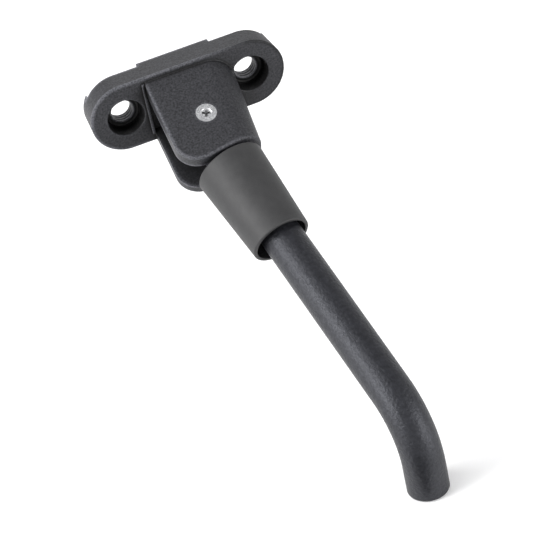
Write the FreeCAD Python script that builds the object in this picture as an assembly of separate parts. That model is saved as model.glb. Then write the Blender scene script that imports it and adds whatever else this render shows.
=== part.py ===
import FreeCAD, Part
import math
import os
from FreeCAD import Placement, Rotation, Vector

# Row frame: X along the line of the two bolt holes, +Y out of the mounting face into the deck, +Z up.
# The origin is the middle of the mounting face. All sizes are in millimetres and degrees.

# Mounting plate
hole_spacing = 48.0
plate_length = 73.0
plate_width = 25.0
plate_thickness = 12.1
plate_draft = 3.8
plate_rim_round = 0.5
channel_width = 20.4
channel_depth = 2.2

# Stepped bolt holes
bolt_hole_d = 8.4
bolt_head_d = 13.2
bolt_head_depth = 5.2
bolt_head_draft = 0.35
bolt_head_rim_round = 0.45

# Clevis
splay = 25.5
pivot_x = 0.8
pivot_below_plate = 13.1
strip_above_cheek = 2.049
front_cheek = 5.1
cheek_gap = 14.0
rear_cheek = 3.9
clevis_left = 15.7
clevis_right = 15.2
right_lean = 4.5
right_wall = 4.0
cheek_reach = 16.0
cheek_corner_r = 8.5
front_right_r = 10.5
rear_right_r = 2.5
cheek_edge_round = 0.7
cavity_corner_r = 2.0
clevis_root_r = 0.4
lip_width = 1.2
lip_height = 0.6
lip_round = 0.35
pocket_depth = 1.2

# Pivot
pin_d = 8.0
pin_head_d = 11.4
pin_head_thickness = 1.4
pin_head_pocket = 1.6
pin_bore_depth = 2.2
pin_edge = 0.4
screw_d = 4.0
screw_head_d = 7.5
screw_length = 10.0
screw_edge = 0.4
dish_d = 4.0
dish_floor_d = 3.4
dish_depth = 0.2
recess_span = 3.2
recess_slot = 0.95
recess_depth = 1.7
recess_turn = 70.0

# Leg
leg_d = 15.0
leg_lean = 8.3
leg_straight = 122.3
bend_radius = 26.0
foot_straight = 11.3
foot_round = 1.1
tongue_length = 21.5

# Sleeve, spring and their seat
sleeve_length = 35.3
sleeve_mouth_gap = 2.3
sleeve_taper = 1.8
sleeve_wall = 1.3
sleeve_flange = 3.0
sleeve_rim_round = 0.5
sleeve_mouth_round = 0.3
sleeve_offset = 0.8
spring_length = 22.0
spring_wire = 1.2
spring_turns = 7
seat_washer = 1.0
snap_ring_width = 1.2
snap_ring_height = 1.5
snap_ring_slot = 3.0

# Clearances
running_gap = 0.05
side_gap = 0.3
sleeve_gap = 1.3
guide_gap = 0.35
seat_gap = 0.03
screw_sink = 0.05

X_AXIS = Vector(1, 0, 0)
Y_AXIS = Vector(0, 1, 0)
Z_AXIS = Vector(0, 0, 1)
REACH = 200.0

plate_front = -plate_thickness
end_radius = plate_width / 2
front_radius = end_radius + plate_thickness * math.tan(math.radians(plate_draft))
inner_half = cheek_gap / 2
front_face = inner_half + front_cheek
rear_face = -inner_half - rear_cheek
splay_sin = math.sin(math.radians(splay))
splay_cos = math.cos(math.radians(splay))
pivot_drop = (front_face + pivot_below_plate * splay_sin) / splay_cos - front_radius + strip_above_cheek
pivot = Vector(pivot_x, plate_front - pivot_below_plate, -pivot_drop)

# Clevis frame: origin on the pivot, local y up the leg's swing plane, local z along the pivot to the front.
# Leg frame: local z down the leg from the pivot, local y along the pivot to the front.
clevis_place = Placement(pivot, Rotation(X_AXIS, splay))
leg_turn = Placement(Vector(), Rotation(Z_AXIS, leg_lean)).multiply(Placement(Vector(), Rotation(X_AXIS, 90)))
leg_place = clevis_place.multiply(leg_turn)


def placed(shape, place):
    moved = shape.copy()
    moved.Placement = place
    return moved


def disc(radius, low, high):
    return Part.makeCylinder(radius, high - low, Vector(0, 0, low), Z_AXIS)


def prism(points, low, high):
    wire = Part.makePolygon([Vector(x, y, low) for x, y in points + points[:1]])
    return Part.Face(wire).extrude(Vector(0, 0, high - low))


def turned(points):
    # Solid of revolution about local z from (radius, height) points.
    wire = Part.makePolygon([Vector(r, 0, h) for r, h in points + points[:1]])
    return Part.Face(wire).revolve(Vector(), Z_AXIS, 360)


def round_edges(shape, radius, chosen):
    return shape.makeFillet(radius, [edge for edge in shape.Edges if chosen(edge)])


def flat_at(edge, direction, level):
    ends = [edge.valueAt(edge.FirstParameter), edge.valueAt(edge.LastParameter), edge.CenterOfMass]
    return all(abs(point.dot(direction) - level) < 1e-4 for point in ends)


# Bracket: plate. A drafted stadium, wider at the front, with its front rim rounded.
# Two channels across its back leave the mounting face as a pad in the middle and a lip at each end.
end_x = plate_length / 2 - end_radius
plate_side = Part.makePolygon([
    Vector(-end_x, 0, -end_radius),
    Vector(-end_x, 0, end_radius),
    Vector(-end_x, plate_front, front_radius),
    Vector(-end_x, plate_front, -front_radius),
    Vector(-end_x, 0, -end_radius),
])
plate = Part.Face(plate_side).extrude(X_AXIS * 2 * end_x)
for side in (-1, 1):
    plate_end = Vector(side * end_x, plate_front, 0)
    plate = plate.fuse(Part.makeCone(front_radius, end_radius, plate_thickness, plate_end, Y_AXIS))
plate = plate.removeSplitter()
plate = round_edges(plate, plate_rim_round, lambda edge: flat_at(edge, Y_AXIS, plate_front))
for side in (-1, 1):
    channel_at = Vector((side * hole_spacing - channel_width) / 2, -channel_depth, -plate_width)
    plate = plate.cut(Part.makeBox(channel_width, plate_thickness, 2 * plate_width, channel_at))

# Bracket: clevis block. Its outline lies in the swing plane; the lower edge is square to the resting leg.
lean = math.radians(leg_lean)
down = Vector(math.sin(lean), -math.cos(lean), 0)
across = Vector(math.cos(lean), math.sin(lean), 0)
block_top = (pivot_below_plate + front_face * splay_sin) / splay_cos + plate_thickness / 3
corner_x = cheek_corner_r - clevis_left
corner_y = (corner_x * math.sin(lean) - cheek_reach + cheek_corner_r) / math.cos(lean)
corner = Vector(corner_x, corner_y, 0)
corner_left = corner - X_AXIS * cheek_corner_r
corner_low = corner + down * cheek_corner_r
corner_mid = corner + (down - X_AXIS).normalize() * cheek_corner_r
right_turn = math.radians(right_lean)
right_slope = math.tan(right_turn)


def right_face(y):
    return clevis_right + (y + cheek_reach) * right_slope


low_y = (cheek_reach - right_face(0) * math.sin(lean)) / (right_slope * math.sin(lean) - math.cos(lean))
right_low = Vector(right_face(low_y), low_y, 0)
top_right = Vector(right_face(block_top), block_top, 0)
top_left = Vector(-clevis_left, block_top, 0)
outline = Part.Wire([
    Part.makeLine(top_left, corner_left),
    Part.Arc(corner_left, corner_mid, corner_low).toShape(),
    Part.makeLine(corner_low, right_low),
    Part.makeLine(right_low, top_right),
    Part.makeLine(top_right, top_left),
])
block = Part.Face(outline).extrude(Vector(0, 0, front_face - rear_face))
block.translate(Vector(0, 0, rear_face))
right_normal = Vector(math.cos(right_turn), -math.sin(right_turn), 0)
right_level = top_right.dot(right_normal)


def right_edge(edge, level):
    return flat_at(edge, right_normal, right_level) and flat_at(edge, Z_AXIS, level)


block = round_edges(block, front_right_r, lambda edge: right_edge(edge, front_face))
block = round_edges(block, rear_right_r, lambda edge: right_edge(edge, rear_face))


def cheek_rim(edge):
    on_face = flat_at(edge, Z_AXIS, front_face) or flat_at(edge, Z_AXIS, rear_face)
    on_right = edge.CenterOfMass.x > clevis_right - front_right_r - 1.0 and edge.CenterOfMass.y > -cheek_reach / 2
    return on_face and edge.CenterOfMass.y < block_top - 1e-3 and not on_right


block = round_edges(block, cheek_edge_round, cheek_rim)

# Bracket: cavity between the cheeks, open at the left and at the bottom, closed by the plate's front face.
wall_inside = right_wall / math.cos(right_turn)
cavity = prism(
    [
        (-REACH, -REACH),
        (right_face(-REACH) - wall_inside, -REACH),
        (right_face(REACH) - wall_inside, REACH),
        (-REACH, REACH),
    ],
    -inner_half,
    inner_half,
)
cavity_level = right_level - right_wall
cavity = round_edges(cavity, cavity_corner_r, lambda edge: flat_at(edge, right_normal, cavity_level)
                     and abs(edge.CenterOfMass.z) > inner_half - 1e-3)
clevis = placed(block.cut(cavity), clevis_place)
root = plate_rim_round + 0.5
above_front = Part.makeBox(2 * REACH, REACH, REACH, Vector(-REACH, plate_front + root, root - end_radius))
clevis = clevis.cut(above_front)

# Bracket: cast fillet where the face of the front cheek and its right side run out into the plate.
root_x = pivot_x - clevis_left
bracket = plate.fuse(clevis).removeSplitter()
front_way = clevis_place.Rotation.multVec(Z_AXIS)
front_level = pivot.dot(front_way) + front_face
bracket = round_edges(bracket, clevis_root_r, lambda edge: flat_at(edge, Y_AXIS, plate_front)
                      and flat_at(edge, front_way, front_level))

# Bracket: a low lip runs down the plate beside the clevis, with a shallow pocket between the cheeks.
lip = Part.makeBox(lip_width, lip_height + root, 2 * plate_width,
                   Vector(root_x - lip_width, plate_front - lip_height, -plate_width))
lip = round_edges(lip, lip_round, lambda edge: flat_at(edge, Y_AXIS, plate_front - lip_height)
                  and edge.Length > plate_width)
beside = Part.makeBox(2 * REACH, 2 * REACH, inner_half + front_face, Vector(-REACH, -REACH, -inner_half))
bracket = bracket.fuse(lip.common(placed(beside, clevis_place))).removeSplitter()
behind_lip = Part.makeBox(REACH, REACH, 2 * REACH, Vector(root_x, plate_front + pocket_depth - REACH, -REACH))
bracket = bracket.cut(placed(cavity, clevis_place).common(behind_lip))

# Bracket: stepped bolt holes, with a drafted seat for the bolt head, open to the channel behind.
head_r = bolt_head_d / 2
rim_r = head_r + bolt_head_draft
head_floor = plate_front + bolt_head_depth
rim_arc_x = rim_r + bolt_head_rim_round
rim_arc_part = bolt_head_rim_round * (1 - math.sqrt(0.5))
head_pocket_wire = Part.Wire([
    Part.makeLine(Vector(0, plate_front - 1, 0), Vector(rim_arc_x, plate_front - 1, 0)),
    Part.makeLine(Vector(rim_arc_x, plate_front - 1, 0), Vector(rim_arc_x, plate_front, 0)),
    Part.Arc(
        Vector(rim_arc_x, plate_front, 0),
        Vector(rim_r + rim_arc_part, plate_front + rim_arc_part, 0),
        Vector(rim_r, plate_front + bolt_head_rim_round, 0),
    ).toShape(),
    Part.makeLine(Vector(rim_r, plate_front + bolt_head_rim_round, 0), Vector(head_r, head_floor, 0)),
    Part.makeLine(Vector(head_r, head_floor, 0), Vector(0, head_floor, 0)),
    Part.makeLine(Vector(0, head_floor, 0), Vector(0, plate_front - 1, 0)),
])
head_pocket = Part.Face(head_pocket_wire).revolve(Vector(), Y_AXIS, 360)
bolt_hole = Part.makeCylinder(bolt_hole_d / 2, plate_thickness + 2, Vector(0, plate_front - 1, 0), Y_AXIS)
for side in (-1, 1):
    at_hole = Vector(side * hole_spacing / 2, 0, 0)
    for tool in (head_pocket, bolt_hole):
        bracket = bracket.cut(tool.translated(at_hole))

# Bracket: pivot bores. A blind bore in the front cheek with the screw's countersink, a headed bore in the rear.
pin_bore_r = pin_d / 2 + running_gap
bore_floor = inner_half + pin_bore_depth
head_seat = rear_face + pin_head_pocket
head_pocket_r = pin_head_d / 2 + side_gap
sink_r = screw_head_d / 2 + screw_sink + seat_gap
screw_hole_r = screw_d / 2 + running_gap
sink_depth = sink_r - screw_hole_r
pivot_tools = [
    disc(pin_bore_r, rear_face - 1, bore_floor),
    disc(head_pocket_r, rear_face - 1, head_seat),
    disc(screw_hole_r, 0, front_face + 1),
    Part.makeCone(screw_hole_r, sink_r + 1, sink_depth + 1, Vector(0, 0, front_face - sink_depth), Z_AXIS),
]
for tool in pivot_tools:
    bracket = bracket.cut(placed(tool, clevis_place))

# Pivot pin: turned shaft with a low head, tapped in its front end for the screw.
pin_tip = bore_floor - side_gap
pin = disc(pin_d / 2, head_seat, pin_tip)
pin = pin.fuse(disc(pin_head_d / 2, head_seat - pin_head_thickness, head_seat)).removeSplitter()
pin = round_edges(pin, pin_edge, lambda edge: flat_at(edge, Z_AXIS, head_seat - pin_head_thickness))
pin = pin.makeChamfer(pin_edge, [edge for edge in pin.Edges if flat_at(edge, Z_AXIS, pin_tip)])
screw_tip = front_face - screw_sink - screw_length
pin = pin.cut(disc(screw_hole_r, screw_tip - 2, pin_tip + 1))
pivot_pin = placed(pin, clevis_place)

# Pivot screw: countersunk head with a cross recess, flush in the front cheek.
screw_top = front_face - screw_sink
cone_depth = (screw_head_d - screw_d) / 2
screw = turned([
    (0, screw_tip),
    (screw_d / 2 - screw_edge, screw_tip),
    (screw_d / 2, screw_tip + screw_edge),
    (screw_d / 2, screw_top - cone_depth),
    (screw_head_d / 2, screw_top),
    (dish_d / 2, screw_top),
    (dish_floor_d / 2, screw_top - dish_depth),
    (0, screw_top - dish_depth),
])
slot = Part.makeBox(recess_span, recess_slot, recess_depth, Vector(-recess_span / 2, -recess_slot / 2, -recess_depth))
cross = slot.fuse(slot.rotated(Vector(), Z_AXIS, 90))
taper = Part.makeCone(recess_slot / 2, recess_span / 2, recess_depth, Vector(0, 0, -recess_depth), Z_AXIS)
cross = cross.common(taper).rotated(Vector(), Z_AXIS, recess_turn)
screw = screw.cut(cross.translated(Vector(0, 0, screw_top - dish_depth)))
pivot_screw = placed(screw, clevis_place)

# Seats along the leg, measured from the pivot.
sleeve_top = cheek_reach + sleeve_gap
flange_under = sleeve_top + sleeve_flange
washer_top = flange_under + spring_length
ring_top = washer_top + seat_washer
ring_low = ring_top + snap_ring_width
leg_r = leg_d / 2
groove_r = leg_r - snap_ring_height / 3

# Leg: round bar on a path of straight, bend and foot. The foot points straight down, so its end lies flat.
foot_way = leg_place.Rotation.inverted().multVec(Vector(0, 0, -1))
bend_angle = foot_way.getAngle(Z_AXIS)
bend_way = (foot_way - Z_AXIS * math.cos(bend_angle)).normalize()


def on_bend(angle):
    turn = Z_AXIS * math.sin(angle) + bend_way * (1 - math.cos(angle))
    return Vector(0, 0, leg_straight) + turn * bend_radius


foot_end = on_bend(bend_angle) + foot_way * foot_straight
path = Part.Wire([
    Part.makeLine(Vector(0, 0, -leg_r), Vector(0, 0, leg_straight)),
    Part.Arc(on_bend(0), on_bend(bend_angle / 2), on_bend(bend_angle)).toShape(),
    Part.makeLine(on_bend(bend_angle), foot_end),
])
bar_section = Part.Wire([Part.makeCircle(leg_r, Vector(0, 0, -leg_r), Z_AXIS)])
bar = path.makePipeShell([bar_section], True, False)
foot_level = foot_end.dot(foot_way)
bar = round_edges(bar, foot_round, lambda edge: flat_at(edge, foot_way, foot_level))

# Leg: tongue with two milled flats and a round top end, the pivot bore and the ring groove.
tongue_half = inner_half - side_gap
for side in (-1, 1):
    low_y = tongue_half if side > 0 else -tongue_half - leg_d
    bar = bar.cut(Part.makeBox(2 * leg_d, leg_d, tongue_length + leg_d, Vector(-leg_d, low_y, -leg_d)))
top_round = Part.makeBox(2 * leg_d, 2 * leg_d, leg_d, Vector(-leg_d, -leg_d, -leg_d))
top_round = top_round.cut(Part.makeCylinder(leg_r, 2 * leg_d, Vector(0, -leg_d, 0), Y_AXIS))
bar = bar.cut(top_round)
bar = bar.cut(Part.makeCylinder(pin_bore_r, 2 * leg_d, Vector(0, -leg_d, 0), Y_AXIS))
bar = bar.cut(disc(leg_r + 1, ring_top, ring_low).cut(disc(groove_r, ring_top, ring_low)))
leg = placed(bar, leg_place)

# Sleeve: moulded cone with an inner flange that the spring pushes on. Its bore lies off the cone's axis.
sleeve_bottom = sleeve_top + sleeve_length
bottom_r = leg_r + sleeve_mouth_gap + sleeve_wall
top_r = bottom_r + sleeve_taper
flange_r = top_r - (top_r - bottom_r) * sleeve_flange / sleeve_length
sleeve_bore_r = leg_r + guide_gap
tube = turned([
    (0, sleeve_top),
    (top_r, sleeve_top),
    (bottom_r, sleeve_bottom),
    (bottom_r - sleeve_wall, sleeve_bottom),
    (flange_r - sleeve_wall, flange_under),
    (0, flange_under),
])


def outer_rim(edge):
    on_end = flat_at(edge, Z_AXIS, sleeve_top) or flat_at(edge, Z_AXIS, sleeve_bottom)
    return on_end and edge.Length > 2 * math.pi * (bottom_r - sleeve_wall / 2)


tube = round_edges(tube, sleeve_rim_round, outer_rim)
tube = round_edges(tube, sleeve_mouth_round, lambda edge: flat_at(edge, Z_AXIS, sleeve_bottom)
                   and edge.Length < 2 * math.pi * (bottom_r - sleeve_wall + 0.1))
tube = tube.translated(X_AXIS * -sleeve_offset).cut(disc(sleeve_bore_r, sleeve_top - 1, flange_under + 1))
sleeve = placed(tube, leg_place)

# Spring: round wire with one closed turn at each end, both ends ground flat. Each half turn is a tilted arc.
spring_r = leg_r + side_gap + spring_wire / 2
ground = spring_wire / 4
closed_rise = spring_wire * 1.05 / 2
half_turns = 2 * spring_turns
open_rise = (spring_length - 2 * ground - 4 * closed_rise) / (half_turns - 4)
half_coils = []
coil_height = flange_under + ground
for index in range(half_turns):
    at_end = index < 2 or index >= half_turns - 2
    rise = closed_rise if at_end else open_rise
    side = 1 if index % 2 == 0 else -1
    start = Vector(side * spring_r, 0, coil_height)
    middle = Vector(0, 0, coil_height + rise / 2)
    section = Part.Face(Part.Wire([Part.makeCircle(spring_wire / 2, start, Y_AXIS)]))
    half_coils.append(section.revolve(middle, (start - middle).cross(Y_AXIS * side), 180))
    coil_height = coil_height + rise
coil = half_coils[0].multiFuse(half_coils[1:])
coil = coil.common(disc(2 * spring_r, flange_under, washer_top)).removeSplitter()
spring = placed(coil, leg_place)

# Spring washer and snap ring: the seat that carries the spring on the leg.
seat_out_r = spring_r + spring_wire / 2
washer = disc(seat_out_r, washer_top, ring_top).cut(disc(leg_r + 2 * running_gap, washer_top, ring_top))
spring_washer = placed(washer, leg_place)
ring = disc(groove_r + snap_ring_height, ring_top, ring_low).cut(disc(groove_r, ring_top, ring_low))
ring = ring.cut(Part.makeBox(leg_d, snap_ring_slot, leg_d, Vector(0, -snap_ring_slot / 2, ring_top - leg_d / 2)))
retaining_ring = placed(ring, leg_place)

pieces = {
    "bracket": bracket,
    "pivot_pin": pivot_pin,
    "pivot_screw": pivot_screw,
    "leg": leg,
    "sleeve": sleeve,
    "spring": spring,
    "spring_washer": spring_washer,
    "retaining_ring": retaining_ring,
}
os.makedirs("parts", exist_ok=True)
for name, shape in pieces.items():
    print(name, shape.isValid(), len(shape.Solids), round(shape.Volume, 1))
    shape.exportStep("parts/" + name + ".step")
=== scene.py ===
import math
import bmesh
import bpy
from mathutils import Matrix, Vector


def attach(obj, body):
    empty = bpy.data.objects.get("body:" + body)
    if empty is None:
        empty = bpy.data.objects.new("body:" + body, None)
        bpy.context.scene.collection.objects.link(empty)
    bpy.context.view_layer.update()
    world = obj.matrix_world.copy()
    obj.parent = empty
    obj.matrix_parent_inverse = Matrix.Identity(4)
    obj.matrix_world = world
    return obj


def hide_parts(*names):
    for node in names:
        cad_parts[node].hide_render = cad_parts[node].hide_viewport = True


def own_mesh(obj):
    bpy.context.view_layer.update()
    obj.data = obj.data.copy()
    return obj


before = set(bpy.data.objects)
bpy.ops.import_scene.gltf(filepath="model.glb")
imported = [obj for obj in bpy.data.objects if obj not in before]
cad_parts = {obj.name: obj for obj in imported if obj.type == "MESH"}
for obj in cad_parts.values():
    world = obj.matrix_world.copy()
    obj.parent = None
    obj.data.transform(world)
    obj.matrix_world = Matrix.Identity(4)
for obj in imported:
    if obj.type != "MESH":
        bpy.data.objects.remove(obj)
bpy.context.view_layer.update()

# Bracket: one alloy casting with the mounting plate and the hollow clevis that holds the leg.
# It is blasted and powder coated in fine-grained black. Painted shade darkens its corners and
# recesses, its edges carry painted highlights on the left and painted dark lines at the right end,
# and the drill left rings in the bolt holes, brightened with painted light.
NOISE_SPAN = (0.3, 0.7)
OPENNESS_RAYS = 12
WAVE_RADIANS = 20
PEBBLE_GRAIN = (1500, 3)
PEBBLE_RELIEF = (0.00015, 0.8)
SPECK_GRAIN = (3600, 2)
SPECK_RELIEF = (0.00005, 0.6)
CASTING_SPAN = (0.3, 0.72)
CASTING_DARK = (0.011, 0.0112, 0.0132)
CASTING_LIGHT = (0.046, 0.0465, 0.0522)
CASTING_ROUGHNESS = (0.42, 0.58)
CASTING_SPECULAR = 0.3
RECESS_REACH = 0.02
RECESS_OPENNESS = (0.56, 0.9)
RECESS_SHADE_TONE = 0.05
CORNER_REACH = 0.0012
CORNER_OPENNESS = (0.84, 0.98)
CORNER_SHADE_TONE = 0.1
EDGE_REACH = 0.0014
EDGE_OPENNESS = (0.7, 0.97)
EDGE_LIGHT_FADE_X = (0.004, 0.0277)
LEFT_EDGE_LIGHT_TONE = 3.4
RIGHT_EDGE_SHADE_TONE = 0.2
HOLE_X = 0.024
PLATE_FRONT_Y = (-0.013, -0.0124)
OUT_OF_HOLE = 0.02
BORE_RADIUS = (0.0043, 0.0046)
BORE_SHADE_TONE = 0.9
SEAT_RADIUS = (0.006, 0.0064)
RIM_RADIUS = (0.0072, 0.0088)
RIM_HIGHLIGHT_TONE = 1.3
RING_PITCH = 0.0015
RING_RELIEF = (0.00015, 0.8)
RING_HEIGHTS = (0.25, 0.8)
RING_AND_BORE_LIGHT_TONES = (0.2, 4.6)


def new_finish(name):
    finish = bpy.data.materials.new(name)
    finish.use_nodes = True
    return finish, finish.node_tree, finish.node_tree.nodes["Principled BSDF"]


def feed(tree, socket, value):
    if isinstance(value, bpy.types.NodeSocket):
        tree.links.new(value, socket)
    else:
        socket.default_value = value


def grain(tree, per_metre, detail):
    place = tree.nodes.new("ShaderNodeTexCoord")
    noise = tree.nodes.new("ShaderNodeTexNoise")
    noise.inputs["Scale"].default_value = per_metre
    noise.inputs["Detail"].default_value = detail
    tree.links.new(place.outputs["Object"], noise.inputs["Vector"])
    return noise.outputs["Fac"]


def ramp(tree, source, span, dark, light):
    tone = tree.nodes.new("ShaderNodeValToRGB")
    for stop, position, colour in zip(tone.color_ramp.elements, span, (dark, light)):
        stop.position = position
        stop.color = (*colour, 1)
    tree.links.new(source, tone.inputs["Fac"])
    return tone.outputs["Color"]


def between(tree, source, start, end, first, last):
    span = tree.nodes.new("ShaderNodeMapRange")
    feed(tree, span.inputs["Value"], source)
    feed(tree, span.inputs["From Min"], start)
    feed(tree, span.inputs["From Max"], end)
    feed(tree, span.inputs["To Min"], first)
    feed(tree, span.inputs["To Max"], last)
    return span.outputs["Result"]


def spread(tree, source, low, high):
    return between(tree, source, *NOISE_SPAN, low, high)


def reckon(tree, operation, *values):
    step = tree.nodes.new("ShaderNodeMath")
    step.operation = operation
    for socket, value in zip(step.inputs, values):
        feed(tree, socket, value)
    return step.outputs["Value"]


def relief(tree, height, depth, strength, under=None):
    bump = tree.nodes.new("ShaderNodeBump")
    bump.inputs["Distance"].default_value = depth
    bump.inputs["Strength"].default_value = strength
    tree.links.new(height, bump.inputs["Height"])
    if under is not None:
        tree.links.new(under, bump.inputs["Normal"])
    return bump.outputs["Normal"]


def openness(tree, reach, span, least, inside=False):
    around = tree.nodes.new("ShaderNodeAmbientOcclusion")
    around.only_local = True
    around.inside = inside
    around.samples = OPENNESS_RAYS
    around.inputs["Distance"].default_value = reach
    return between(tree, around.outputs["AO"], *span, least, 1.0)


def shaded(tree, colour, cover):
    layer = tree.nodes.new("ShaderNodeVectorMath")
    layer.operation = "SCALE"
    tree.links.new(colour, layer.inputs["Vector"])
    tree.links.new(cover, layer.inputs["Scale"])
    return layer.outputs["Vector"]


def lay_on(tree, shader, colour, gloss, skin=None):
    tree.links.new(colour, shader.inputs["Base Color"])
    tree.links.new(gloss, shader.inputs["Roughness"])
    if skin is not None:
        tree.links.new(skin, shader.inputs["Normal"])


def dress(node, finish):
    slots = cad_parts[node].data.materials
    slots.clear()
    slots.append(finish)


bracket_coat, tree, coat = new_finish("bracket_powder_coat")
pebbles = grain(tree, *PEBBLE_GRAIN)
specks = grain(tree, *SPECK_GRAIN)
shade = ramp(tree, pebbles, CASTING_SPAN, CASTING_DARK, CASTING_LIGHT)
gloss = spread(tree, specks, *CASTING_ROUGHNESS)
skin = relief(tree, pebbles, *PEBBLE_RELIEF)
skin = relief(tree, specks, *SPECK_RELIEF, skin)

place = tree.nodes.new("ShaderNodeTexCoord")
along = tree.nodes.new("ShaderNodeSeparateXYZ")
tree.links.new(place.outputs["Object"], along.inputs["Vector"])
x, y, z = along.outputs
past_hole = reckon(tree, "SUBTRACT", reckon(tree, "ABSOLUTE", x), HOLE_X)
before_plate = between(tree, y, *PLATE_FRONT_Y, OUT_OF_HOLE, 0.0)
off_axis = tree.nodes.new("ShaderNodeCombineXYZ")
for socket, part in zip(off_axis.inputs, (past_hole, before_plate, z)):
    tree.links.new(part, socket)
from_axis = tree.nodes.new("ShaderNodeVectorMath")
from_axis.operation = "LENGTH"
tree.links.new(off_axis.outputs["Vector"], from_axis.inputs[0])
radius = from_axis.outputs["Value"]
in_bore = between(tree, radius, *BORE_RADIUS, 1.0, 0.0)
in_seat = between(tree, radius, *SEAT_RADIUS, 1.0, 0.0)

down_hole = tree.nodes.new("ShaderNodeCombineXYZ")
tree.links.new(reckon(tree, "ADD", y, radius), down_hole.inputs["Y"])
rings = tree.nodes.new("ShaderNodeTexWave")
rings.bands_direction = "Y"
rings.inputs["Scale"].default_value = math.tau / (WAVE_RADIANS * RING_PITCH)
tree.links.new(down_hole.outputs["Vector"], rings.inputs["Vector"])
ring = rings.outputs["Fac"]
# Real drill rings in the bolt bores; their tone runs from 0.2 to 4.6 times, so the bore walls also
# carry painted light.
ring_and_bore_light = between(tree, ring, *RING_HEIGHTS, *RING_AND_BORE_LIGHT_TONES)
rings_with_bore_light = between(tree, in_seat, 0.0, 1.0, 1.0, ring_and_bore_light)
skin = relief(tree, reckon(tree, "MULTIPLY", ring, in_seat), *RING_RELIEF, skin)

# Painted shade: the colour is darkened where the surface is hemmed in, deepest in the clevis
# pocket and bolt seats, only slightly on the bore walls.
recess_shade_least = between(tree, in_bore, 0.0, 1.0, RECESS_SHADE_TONE, BORE_SHADE_TONE)
recess_shade = openness(tree, RECESS_REACH, RECESS_OPENNESS, recess_shade_least)
# Painted shade: a narrow dark line along the concave corners.
corner = openness(tree, CORNER_REACH, CORNER_OPENNESS, CORNER_SHADE_TONE)
# Painted highlight and shade on convex edges: strongly lightened on the left, fading to a dark
# line at the right end, with a mild highlight around the bolt-hole rims.
edge_light_by_x = between(tree, x, *EDGE_LIGHT_FADE_X, LEFT_EDGE_LIGHT_TONE, RIGHT_EDGE_SHADE_TONE)
edge_light_tone = between(tree, radius, *RIM_RADIUS, RIM_HIGHLIGHT_TONE, edge_light_by_x)
painted_edge_light = openness(tree, EDGE_REACH, EDGE_OPENNESS, edge_light_tone, inside=True)
# Lay the painted shade, the painted edge light and the rings with painted bore light over the
# grain.
for cover in (recess_shade, corner, painted_edge_light, rings_with_bore_light):
    shade = shaded(tree, shade, cover)
coat.inputs["Specular IOR Level"].default_value = CASTING_SPECULAR
lay_on(tree, coat, shade, gloss, skin)
dress("bracket", bracket_coat)

# Leg: a solid round bar, bent near the foot and milled flat where it enters the clevis.
# It has a thinner, glossier coat than the casting, with a faint orange peel.
PEEL_GRAIN = (900, 3)
PEEL_RELIEF = (0.00026, 1.0)
DUST_GRAIN = (3600, 2)
DUST_RELIEF = (0.00006, 0.6)
BAR_SPAN = (0.32, 0.7)
BAR_DARK = (0.004, 0.0042, 0.0055)
BAR_LIGHT = (0.014, 0.0144, 0.018)
BAR_ROUGHNESS = (0.34, 0.52)
BAR_SHEEN = (0.9, 0.92, 1.0, 1)

leg_coat, tree, coat = new_finish("leg_satin_coat")
peel = grain(tree, *PEEL_GRAIN)
dust = grain(tree, *DUST_GRAIN)
tone = ramp(tree, peel, BAR_SPAN, BAR_DARK, BAR_LIGHT)
gloss = spread(tree, dust, *BAR_ROUGHNESS)
skin = relief(tree, peel, *PEEL_RELIEF)
skin = relief(tree, dust, *DUST_RELIEF, skin)
coat.inputs["Specular Tint"].default_value = BAR_SHEEN
lay_on(tree, coat, tone, gloss, skin)
dress("leg", leg_coat)

# Spring: round spring-steel wire with closed, ground ends, slipped over the leg inside the sleeve.
# It stands on a thin washer that a snap ring carries; the real spring shortens as the sleeve is
# pushed down, but this coil keeps its rest length and only moves with the leg.
PIVOT = Vector((0.0008, -0.0252, -0.0084))
LEG_WAY = Vector((0.144356, -0.893132, -0.426002)).normalized()
SPRING_TOP = 0.0203
SPRING_LENGTH = 0.022
SPRING_RADIUS = 0.0084
SPRING_TURNS = 7
STEPS_PER_TURN = 40
WIRE_RADIUS = 0.0006
WIRE_SIDES = 12
CLOSED_WIRE_RADII = 2.1
SEAM_GAP = 1e-7
SCALE_GRAIN = (2200, 3)
SPRING_DARK = (0.16, 0.155, 0.15)
SPRING_LIGHT = (0.34, 0.335, 0.33)
SPRING_ROUGHNESS = (0.28, 0.45)


def build(name, shape, finish):
    mesh = bpy.data.meshes.new(name)
    shape.to_mesh(mesh)
    shape.free()
    mesh.materials.append(finish)
    built = bpy.data.objects.new(name, mesh)
    bpy.context.collection.objects.link(built)
    return built


spring_steel, tree, steel = new_finish("oiled_spring_steel")
mill_scale = grain(tree, *SCALE_GRAIN)
tone = ramp(tree, mill_scale, NOISE_SPAN, SPRING_DARK, SPRING_LIGHT)
gloss = spread(tree, mill_scale, *SPRING_ROUGHNESS)
steel.inputs["Metallic"].default_value = 1.0
lay_on(tree, steel, tone, gloss)

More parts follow.
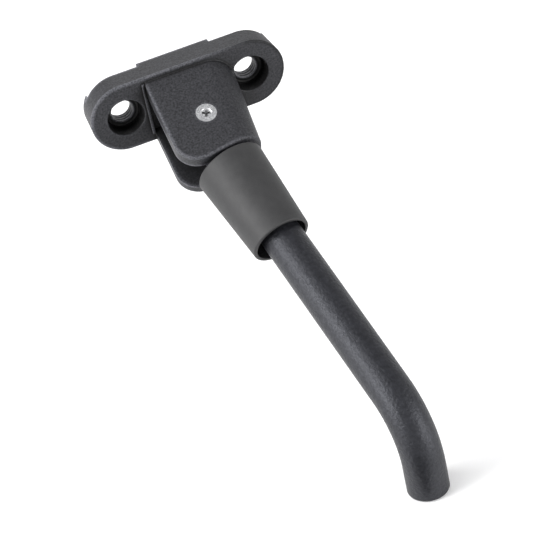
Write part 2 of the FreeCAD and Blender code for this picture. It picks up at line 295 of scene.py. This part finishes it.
wire = bmesh.new()
bmesh.ops.create_circle(wire, segments=WIRE_SIDES, radius=WIRE_RADIUS)
upright = Matrix.Rotation(math.pi / 2, 3, "X")
bmesh.ops.rotate(wire, verts=wire.verts, cent=(0, 0, 0), matrix=upright)
wire_start = (SPRING_RADIUS, 0, SPRING_TOP + WIRE_RADIUS)
bmesh.ops.translate(wire, verts=wire.verts, vec=wire_start)
free_height = SPRING_LENGTH - 2 * WIRE_RADIUS
closed_rise = CLOSED_WIRE_RADII * WIRE_RADIUS
open_rise = (free_height - 2 * closed_rise) / (SPRING_TURNS - 2)
tip = wire.edges[:]
for turn in range(SPRING_TURNS):
    rise = open_rise if 0 < turn < SPRING_TURNS - 1 else closed_rise
    coiled = bmesh.ops.spin(
        wire, geom=tip, cent=(0, 0, 0), axis=(0, 0, 1), dvec=(0, 0, rise / STEPS_PER_TURN),
        angle=2 * math.pi, steps=STEPS_PER_TURN, use_merge=False)
    tip = [part for part in coiled["geom_last"] if isinstance(part, bmesh.types.BMEdge)]
bmesh.ops.remove_doubles(wire, verts=wire.verts, dist=SEAM_GAP)
ends = [edge for edge in wire.edges if edge.is_boundary]
bmesh.ops.holes_fill(wire, edges=ends, sides=WIRE_SIDES)
bmesh.ops.recalc_face_normals(wire, faces=wire.faces)
down_the_leg = Matrix.Translation(PIVOT) @ LEG_WAY.to_track_quat("Z", "Y").to_matrix().to_4x4()
bmesh.ops.transform(wire, matrix=down_the_leg, verts=wire.verts)
for face in wire.faces:
    face.smooth = len(face.verts) == 4
spring_coil = build("spring_coil", wire, spring_steel)
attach(spring_coil, "leg")
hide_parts("spring")
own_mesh(spring_coil)
for seat in ("spring", "spring_washer", "retaining_ring"):
    dress(seat, spring_steel)

# Sleeve: moulded conical tube of dark grey plastic that slides on the leg and locks against
# the cheeks. The mould leaves it smooth and matte with a very fine even grain.
MOULD_CLOUD = (240, 3)
MOULD_GRAIN = (2600, 2)
MOULD_RELIEF = (0.00006, 0.6)
PLASTIC_DARK = (0.028, 0.028, 0.029)
PLASTIC_LIGHT = (0.036, 0.036, 0.037)
PLASTIC_ROUGHNESS = (0.5, 0.6)
PLASTIC_SPECULAR = 0.4

sleeve_plastic, tree, plastic = new_finish("sleeve_moulded_plastic")
cloud = grain(tree, *MOULD_CLOUD)
fine = grain(tree, *MOULD_GRAIN)
tone = ramp(tree, cloud, NOISE_SPAN, PLASTIC_DARK, PLASTIC_LIGHT)
gloss = spread(tree, fine, *PLASTIC_ROUGHNESS)
skin = relief(tree, fine, *MOULD_RELIEF)
plastic.inputs["Specular IOR Level"].default_value = PLASTIC_SPECULAR
lay_on(tree, plastic, tone, gloss, skin)
dress("sleeve", sleeve_plastic)

# Pivot pin: turned steel shaft with a low head, let into the rear cheek, that the leg swings on.
# The lathe leaves fine rings on its head.
PIVOT_WAY = Vector((0, -0.430511, 0.902585))
LATHE_SCALE = 900
LATHE_WANDER = 0.6
LATHE_RELIEF = (0.00003, 0.4)
PIN_DARK = (0.42, 0.42, 0.43)
PIN_LIGHT = (0.6, 0.6, 0.61)
PIN_ROUGHNESS = (0.25, 0.4)

pin_steel, tree, steel = new_finish("turned_pin_steel")
square_to_pin = PIVOT_WAY.rotation_difference(Vector((0, 0, 1)))
place = tree.nodes.new("ShaderNodeTexCoord")
centred = tree.nodes.new("ShaderNodeMapping")
centred.inputs["Rotation"].default_value = square_to_pin.to_euler()
centred.inputs["Location"].default_value = -(square_to_pin @ PIVOT)
tree.links.new(place.outputs["Object"], centred.inputs["Vector"])
rings = tree.nodes.new("ShaderNodeTexWave")
rings.wave_type = "RINGS"
rings.rings_direction = "Z"
rings.inputs["Scale"].default_value = LATHE_SCALE
rings.inputs["Distortion"].default_value = LATHE_WANDER
tree.links.new(centred.outputs["Vector"], rings.inputs["Vector"])
ring = rings.outputs["Fac"]
tone = ramp(tree, ring, (0.0, 1.0), PIN_DARK, PIN_LIGHT)
gloss = spread(tree, ring, *PIN_ROUGHNESS)
skin = relief(tree, ring, *LATHE_RELIEF)
steel.inputs["Metallic"].default_value = 1.0
lay_on(tree, steel, tone, gloss, skin)
dress("pivot_pin", pin_steel)

# Pivot screw: bright zinc-plated countersunk screw with a cross recess, flush in the front cheek.
# It draws the pin tight; the plating is slightly cloudy, and painted shade darkens the cross
# recess.
ZINC_CLOUD = (1800, 3)
ZINC_RELIEF = (0.00002, 0.3)
ZINC_DARK = (0.46, 0.465, 0.475)
ZINC_LIGHT = (0.86, 0.87, 0.88)
ZINC_ROUGHNESS = (0.36, 0.46)
DRIVE_REACH = 0.0012
DRIVE_OPENNESS = (0.3, 0.9)
DRIVE_SHADE_TONE = 0.05

zinc_plate, tree, zinc = new_finish("bright_zinc_plate")
cloud = grain(tree, *ZINC_CLOUD)
tone = ramp(tree, cloud, NOISE_SPAN, ZINC_DARK, ZINC_LIGHT)
gloss = spread(tree, cloud, *ZINC_ROUGHNESS)
skin = relief(tree, cloud, *ZINC_RELIEF)
# Painted shade: the zinc is darkened down in the cross recess.
drive_recess_shade = openness(tree, DRIVE_REACH, DRIVE_OPENNESS, DRIVE_SHADE_TONE)
zinc.inputs["Metallic"].default_value = 1.0
lay_on(tree, zinc, shaded(tree, tone, drive_recess_shade), gloss, skin)
dress("pivot_screw", zinc_plate)

# Studio: a white floor under the foot, soft lamps at the left, overhead and at the front right,
# and a faint one behind. The room is pale all round and dimmer overhead; a dark card on the floor,
# which only reflections show, gives the bend its dark core.
FLOOR_Z = -0.0954
FLOOR_HALF_WIDTH = 6
FLOOR_UNSEEN_WHITE = 0.45
FLOOR_SEEN_WHITE = 1.0
FLOOR_LIFT = 0.06
FLOOR_SPECULAR = 0.1
STAGE_ROUGHNESS = 0.9
CARD_CORNERS = ((0.017, -0.159), (-0.094, -0.184), (-0.056, -0.266), (0.035, -0.268))
CARD_THICKNESS = 0.0004
CARD_Z = FLOOR_Z + CARD_THICKNESS
CARD_BLACK = (0.05, 0.05, 0.05, 1)
ROOM_SPAN = (0.3, 0.95)
ROOM_WALLS = (1.0, 1.0, 1.0)
ROOM_CEILING = (0.5, 0.5, 0.51)
ROOM_STRENGTH = 0.9
LAMP_AIM = Vector((0.0, -0.07, -0.04))
CAMERA_PLACE = (-0.182894, -0.853165, 0.540926)
CAMERA_RIGHT = Vector((0.92083, -0.34745, -0.17704))
CAMERA_UP = Vector((0.34332, 0.50708, 0.79057))
CAMERA_SENSOR = 36
CAMERA_LENS = 190.15
CAMERA_CLIP = (0.05, 20)

bpy.context.scene.view_settings.view_transform = "Standard"

floor_paint, tree, paint = new_finish("white_floor_paint")
ray = tree.nodes.new("ShaderNodeLightPath").outputs
seen = reckon(tree, "MAXIMUM", ray["Is Camera Ray"], ray["Is Glossy Ray"])
seen = reckon(tree, "MAXIMUM", seen, ray["Is Transmission Ray"])
white = between(tree, seen, 0.0, 1.0, FLOOR_UNSEEN_WHITE, FLOOR_SEEN_WHITE)
lift = between(tree, seen, 0.0, 1.0, 0.0, FLOOR_LIFT)
tree.links.new(white, paint.inputs["Base Color"])
tree.links.new(lift, paint.inputs["Emission Strength"])
paint.inputs["Roughness"].default_value = STAGE_ROUGHNESS
paint.inputs["Specular IOR Level"].default_value = FLOOR_SPECULAR
sheet = bmesh.new()
bmesh.ops.create_grid(
    sheet, x_segments=1, y_segments=1, size=FLOOR_HALF_WIDTH,
    matrix=Matrix.Translation((0, 0, FLOOR_Z)))
studio_floor = build("studio_floor", sheet, floor_paint)

card_paint, _, paint = new_finish("black_card")
paint.inputs["Base Color"].default_value = CARD_BLACK
paint.inputs["Roughness"].default_value = STAGE_ROUGHNESS
sheet = bmesh.new()
sheet.faces.new([sheet.verts.new((*corner, CARD_Z)) for corner in CARD_CORNERS])
dark_card = build("dark_card", sheet, card_paint)
dark_card.visible_camera = False
dark_card.visible_diffuse = False
dark_card.visible_shadow = False

room = bpy.data.worlds.new("pale_room")
bpy.context.scene.world = room
room.use_nodes = True
tree = room.node_tree
around = tree.nodes.new("ShaderNodeTexCoord")
height = tree.nodes.new("ShaderNodeSeparateXYZ")
tree.links.new(around.outputs["Generated"], height.inputs["Vector"])
walls = ramp(tree, height.outputs["Z"], ROOM_SPAN, ROOM_WALLS, ROOM_CEILING)
tree.links.new(walls, tree.nodes["Background"].inputs["Color"])
tree.nodes["Background"].inputs["Strength"].default_value = ROOM_STRENGTH


def soft_lamp(name, way, far, across, watts):
    lamp = bpy.data.lights.new(name, "AREA")
    lamp.shape = "DISK"
    lamp.size = across
    lamp.energy = watts
    lit = bpy.data.objects.new(name, lamp)
    bpy.context.collection.objects.link(lit)
    lit.location = LAMP_AIM + Vector(way).normalized() * far
    lit.rotation_euler = Vector(way).to_track_quat("Z", "Y").to_euler()


soft_lamp("lamp_left", way=(-0.79, 0.06, 0.61), far=0.9, across=0.5, watts=4.8)
soft_lamp("lamp_top", way=(-0.36, 0.02, 0.93), far=0.9, across=0.45, watts=1.4)
soft_lamp("lamp_low", way=(-0.92, -0.22, 0.28), far=0.9, across=0.35, watts=4)
soft_lamp("lamp_front", way=(0.66, -0.72, 0.22), far=1.1, across=0.6, watts=6.5)
soft_lamp("lamp_back", way=(0.2, 0.84, 0.5), far=1.2, across=0.6, watts=1)

camera = bpy.data.cameras.new("camera")
camera.sensor_width = CAMERA_SENSOR
camera.lens = CAMERA_LENS
camera.clip_start, camera.clip_end = CAMERA_CLIP
viewer = bpy.data.objects.new("camera", camera)
bpy.context.collection.objects.link(viewer)
facing = Matrix((CAMERA_RIGHT, CAMERA_UP, CAMERA_RIGHT.cross(CAMERA_UP))).transposed()
viewer.matrix_world = Matrix.Translation(CAMERA_PLACE) @ facing.to_4x4()
bpy.context.scene.camera = viewer
